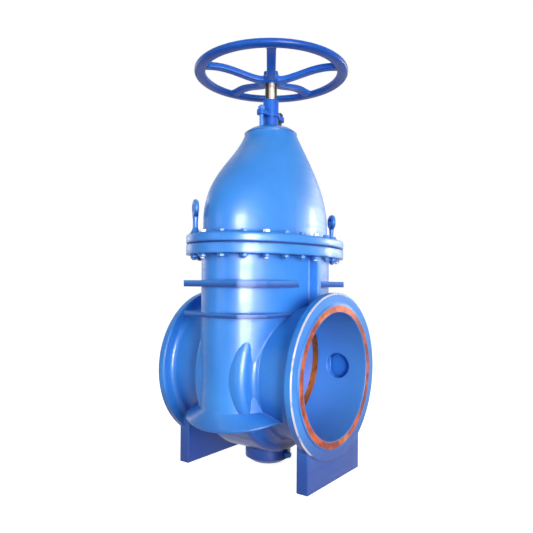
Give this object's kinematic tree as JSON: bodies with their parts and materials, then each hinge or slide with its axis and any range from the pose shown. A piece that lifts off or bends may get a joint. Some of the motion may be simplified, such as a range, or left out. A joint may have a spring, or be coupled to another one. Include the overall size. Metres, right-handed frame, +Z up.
{
  "type": "wedge gate valve",
  "caption": "Large flanged wedge gate valve with an oval ribbed body on plate feet, a bell bonnet, lifting eyes and a spoked handwheel whose inside screw lifts the wedge.",
  "frame": {"origin": "on the floor between the feet, under the stem", "axes": "+X along the pipe to the outlet flange, +Z up along the stem, Y across the pipe"},
  "size_m": [0.8, 1.004, 2.006],
  "materials": {
    "blue_paint": "satin",
    "wheel_paint": "gloss",
    "bronze": "machined",
    "stem_steel": "turned",
    "dark_steel": "black",
    "gasket": "matt"
  },
  "bodies": {
    "valve": {"body": "blue_paint", "seat_ring_inlet": "bronze", "seat_ring_outlet": "bronze", "bypass_cover_inlet": "blue_paint", "bypass_cover_outlet": "blue_paint", "drain_plug": "blue_paint", "bonnet_gasket": "gasket", "bonnet": "blue_paint", "lifting_eye_near": "blue_paint", "lifting_eye_far": "blue_paint", "stuffing_box": "blue_paint", "gland": "blue_paint", "gland_bolts": "dark_steel"},
    "spindle": {"stem": "stem_steel", "handwheel": "wheel_paint", "handwheel_washer": "stem_steel", "handwheel_nut": "wheel_paint"},
    "gate": {"wedge": "blue_paint", "wedge_ring_inlet": "bronze", "wedge_ring_outlet": "bronze", "stem_nut": "bronze"}
  },
  "joints": [
    {"name": "handwheel_turn", "type": "hinge", "parent": "valve", "child": "spindle", "pos_m": [0, 0, 1.9], "axis": [0, 0, 1], "range_deg": [0, 22320]},
    {"name": "wedge_lift", "type": "slide", "parent": "valve", "child": "gate", "axis": [0, 0, 1], "range_m": [0, 0.62]}
  ],
  "couplings": [
    {"joint": "wedge_lift", "follows": "handwheel_turn", "m_per_rad": 0.0015915}
  ]
}
